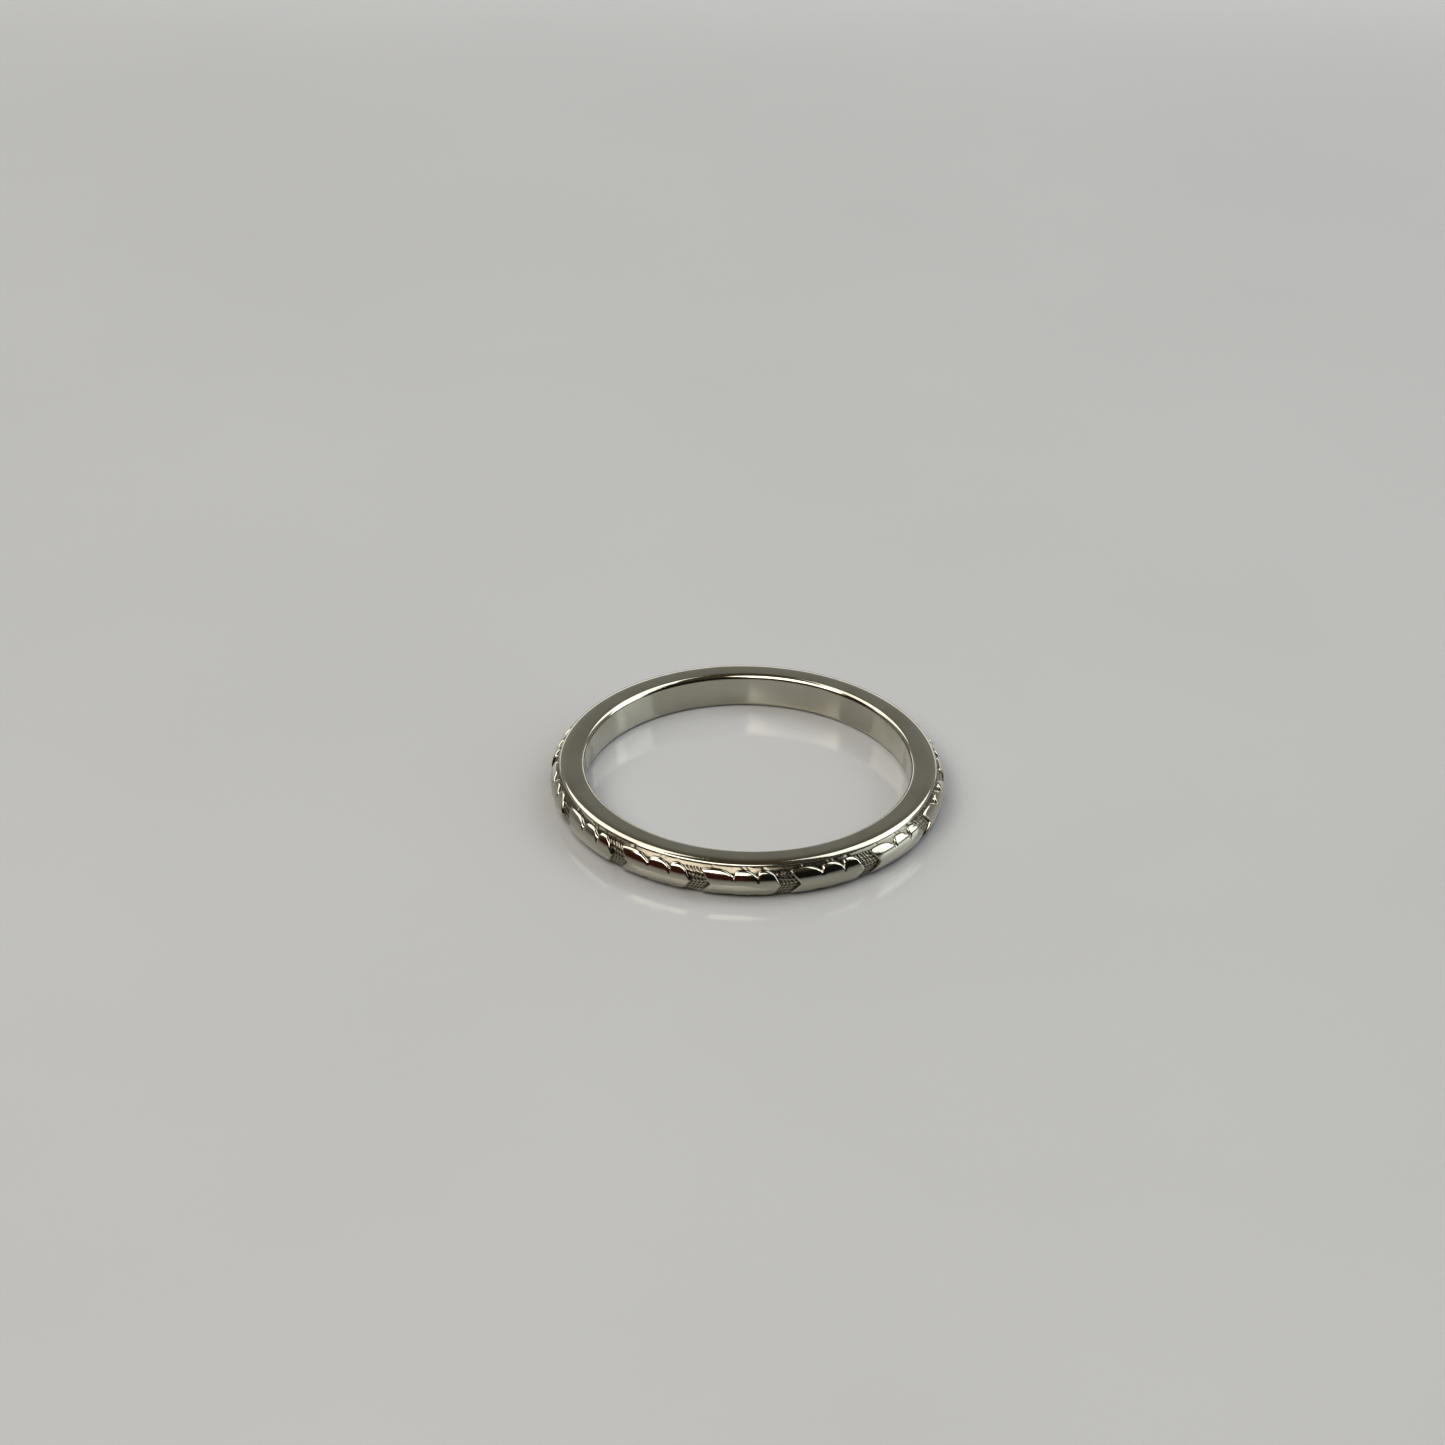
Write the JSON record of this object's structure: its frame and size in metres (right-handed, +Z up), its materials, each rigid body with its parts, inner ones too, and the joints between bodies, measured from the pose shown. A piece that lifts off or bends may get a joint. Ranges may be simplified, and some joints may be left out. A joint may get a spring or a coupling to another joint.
{
  "type": "wedding band",
  "caption": "Slim carved wedding band with flat polished sides, rolled rims and a row of lobed leaves between stippled chevrons round its domed outside.",
  "frame": {"origin": "on the bore's axis, at the lower side face, which is what the band rests on when it lies flat", "axes": "+Z along the bore's axis; seen from outside with +Z up, the leaves point anticlockwise about +Z"},
  "size_m": [0.02, 0.02, 0.0019],
  "materials": {
    "polished_gold": "polished white gold with fine wear scratches",
    "chased_gold": "stippled and chased white gold, darker in its low places"
  },
  "bodies": {
    "root": {"shank": "polished_gold", "upper_rim": "polished_gold", "lower_rim": "polished_gold", "chased_ground": "chased_gold", "leaf_01": "polished_gold", "leaf_02": "polished_gold", "leaf_03": "polished_gold", "leaf_04": "polished_gold", "leaf_05": "polished_gold", "leaf_06": "polished_gold", "leaf_07": "polished_gold", "leaf_08": "polished_gold", "leaf_09": "polished_gold", "leaf_10": "polished_gold", "leaf_11": "polished_gold", "leaf_12": "polished_gold", "leaf_13": "polished_gold", "leaf_14": "polished_gold"}
  },
  "joints": []
}
